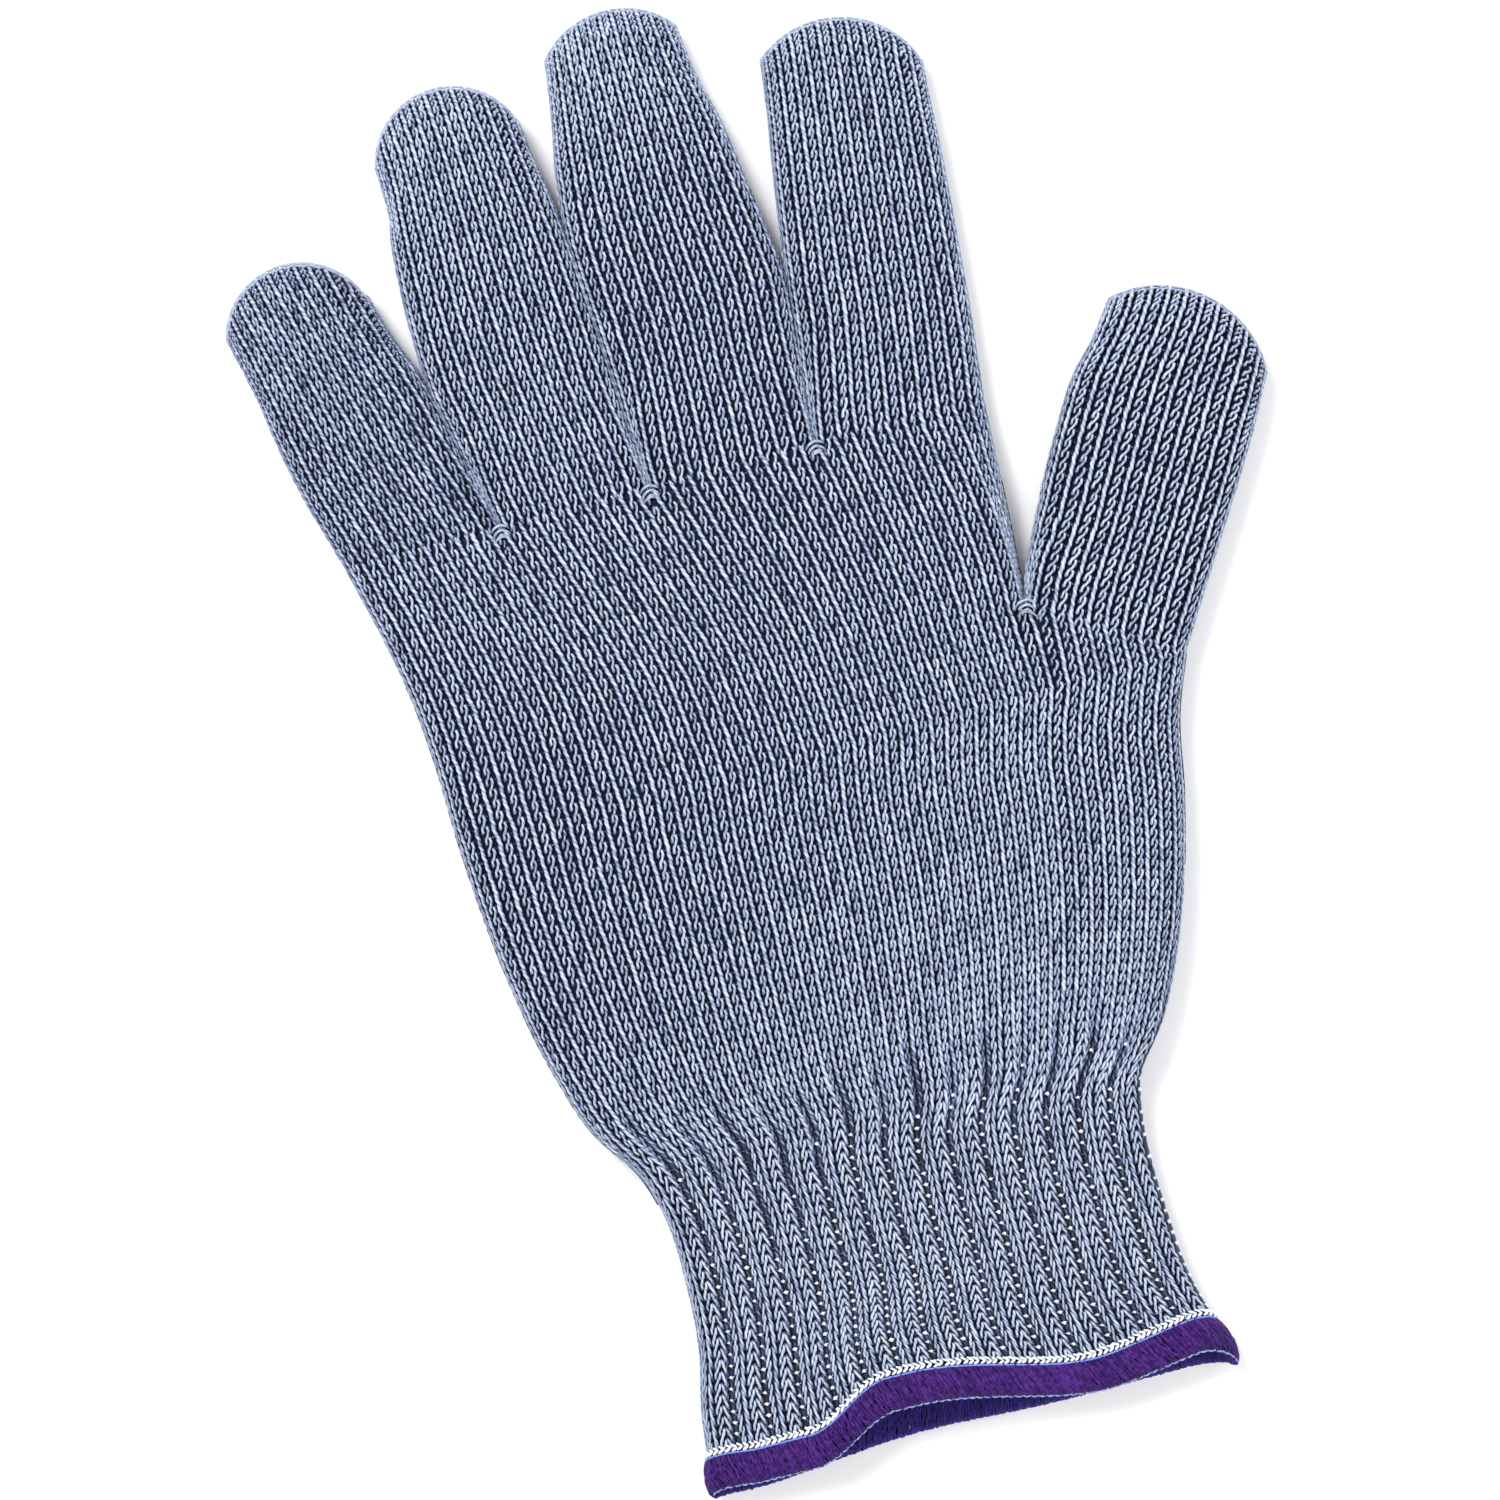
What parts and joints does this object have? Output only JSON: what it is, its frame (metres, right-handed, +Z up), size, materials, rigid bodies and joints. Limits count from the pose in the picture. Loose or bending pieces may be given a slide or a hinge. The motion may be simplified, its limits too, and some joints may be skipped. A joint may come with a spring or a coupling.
{
  "type": "cut resistant glove",
  "caption": "Seamless knitted work glove with finger and thumb tubes, a ribbed cuff and an overlocked hem, lying flat and open at the wrist.",
  "frame": {"origin": "On the surface that the glove lies on, under the middle of its bounding box, which is in the palm.", "axes": "+Y runs from the cuff to the fingertips, +X towards the thumb, +Z up out of the surface"},
  "size_m": [0.1635, 0.2428, 0.0118],
  "materials": {
    "palm_knit": "matt plain knit, steel blue with dark gaps",
    "cuff_rib_knit": "matt rib knit, grey blue",
    "elastic_thread": "white covered elastic",
    "white_stitch_thread": "white sewing thread, slight sheen",
    "purple_hem_thread": "textured purple overlock thread",
    "indigo_hem_thread": "textured indigo overlock thread",
    "light_blue_lip_thread": "light blue thread, slight sheen",
    "crotch_yarn": "the glove's own yarn, knotted"
  },
  "bodies": {
    "palm": {"lower_palm": "palm_knit", "upper_palm": "palm_knit", "finger_crotch_ties": "crotch_yarn", "thumb_crotch_tie": "crotch_yarn", "index_root": "palm_knit", "middle_root": "palm_knit", "ring_root": "palm_knit", "little_root": "palm_knit", "thumb_root": "palm_knit"},
    "index_proximal": {"index_proximal": "palm_knit"},
    "index_middle": {"index_middle": "palm_knit"},
    "index_tip": {"index_tip": "palm_knit"},
    "middle_proximal": {"middle_proximal": "palm_knit"},
    "middle_middle": {"middle_middle": "palm_knit"},
    "middle_tip": {"middle_tip": "palm_knit"},
    "ring_proximal": {"ring_proximal": "palm_knit"},
    "ring_middle": {"ring_middle": "palm_knit"},
    "ring_tip": {"ring_tip": "palm_knit"},
    "little_proximal": {"little_proximal": "palm_knit"},
    "little_middle": {"little_middle": "palm_knit"},
    "little_tip": {"little_tip": "palm_knit"},
    "thumb_proximal": {"thumb_proximal": "palm_knit"},
    "thumb_tip": {"thumb_tip": "palm_knit"},
    "cuff": {"cuff": "cuff_rib_knit", "cuff_elastic_threads": "elastic_thread", "hem_stitch_thread": "white_stitch_thread", "hem_outer_thread": "purple_hem_thread", "hem_inner_thread": "indigo_hem_thread", "hem_lip_thread": "light_blue_lip_thread"}
  },
  "joints": [
    {"name": "index_knuckle_fold", "type": "hinge", "parent": "palm", "child": "index_proximal", "pos_m": [0.02203, 0.05056, 0.0086], "axis": [0.9945, -0.1045, 0], "range_deg": [0, 70]},
    {"name": "index_middle_fold", "type": "hinge", "parent": "index_proximal", "child": "index_middle", "pos_m": [0.02417, 0.07095, 0.0086], "axis": [0.9945, -0.1045, 0], "range_deg": [0, 85]},
    {"name": "index_end_fold", "type": "hinge", "parent": "index_middle", "child": "index_tip", "pos_m": [0.02632, 0.09134, 0.0086], "axis": [0.9945, -0.1045, 0], "range_deg": [0, 45]},
    {"name": "middle_knuckle_fold", "type": "hinge", "parent": "palm", "child": "middle_proximal", "pos_m": [-0.0072, 0.0506, 0.0086], "axis": [1, 0, 0], "range_deg": [0, 70]},
    {"name": "middle_middle_fold", "type": "hinge", "parent": "middle_proximal", "child": "middle_middle", "pos_m": [-0.0072, 0.0736, 0.0086], "axis": [1, 0, 0], "range_deg": [0, 85]},
    {"name": "middle_end_fold", "type": "hinge", "parent": "middle_middle", "child": "middle_tip", "pos_m": [-0.0072, 0.0976, 0.0086], "axis": [1, 0, 0], "range_deg": [0, 45]},
    {"name": "ring_knuckle_fold", "type": "hinge", "parent": "palm", "child": "ring_proximal", "pos_m": [-0.03455, 0.05058, 0.0086], "axis": [0.9969, 0.0785, 0], "range_deg": [0, 70]},
    {"name": "ring_middle_fold", "type": "hinge", "parent": "ring_proximal", "child": "ring_middle", "pos_m": [-0.0362, 0.07151, 0.0086], "axis": [0.9969, 0.0785, 0], "range_deg": [0, 85]},
    {"name": "ring_end_fold", "type": "hinge", "parent": "ring_middle", "child": "ring_tip", "pos_m": [-0.03792, 0.09345, 0.0086], "axis": [0.9969, 0.0785, 0], "range_deg": [0, 45]},
    {"name": "little_knuckle_fold", "type": "hinge", "parent": "palm", "child": "little_proximal", "pos_m": [-0.06153, 0.05041, 0.0086], "axis": [0.9724, 0.2334, 0], "range_deg": [0, 70]},
    {"name": "little_middle_fold", "type": "hinge", "parent": "little_proximal", "child": "little_middle", "pos_m": [-0.06492, 0.06451, 0.0086], "axis": [0.9724, 0.2334, 0], "range_deg": [0, 85]},
    {"name": "little_end_fold", "type": "hinge", "parent": "little_middle", "child": "little_tip", "pos_m": [-0.0683, 0.0786, 0.0086], "axis": [0.9724, 0.2334, 0], "range_deg": [0, 45]},
    {"name": "thumb_base_fold", "type": "hinge", "parent": "palm", "child": "thumb_proximal", "pos_m": [0.0489, 0.0075, 0.01], "axis": [0.8572, -0.515, 0], "range_deg": [0, 60]},
    {"name": "thumb_end_fold", "type": "hinge", "parent": "thumb_proximal", "child": "thumb_tip", "pos_m": [0.06127, 0.02807, 0.01], "axis": [0.8572, -0.515, 0], "range_deg": [0, 70]},
    {"name": "wrist_fold", "type": "hinge", "parent": "palm", "child": "cuff", "pos_m": [-0.0087, -0.0716, 0.0106], "axis": [-1, 0, 0], "range_deg": [0, 80]}
  ]
}
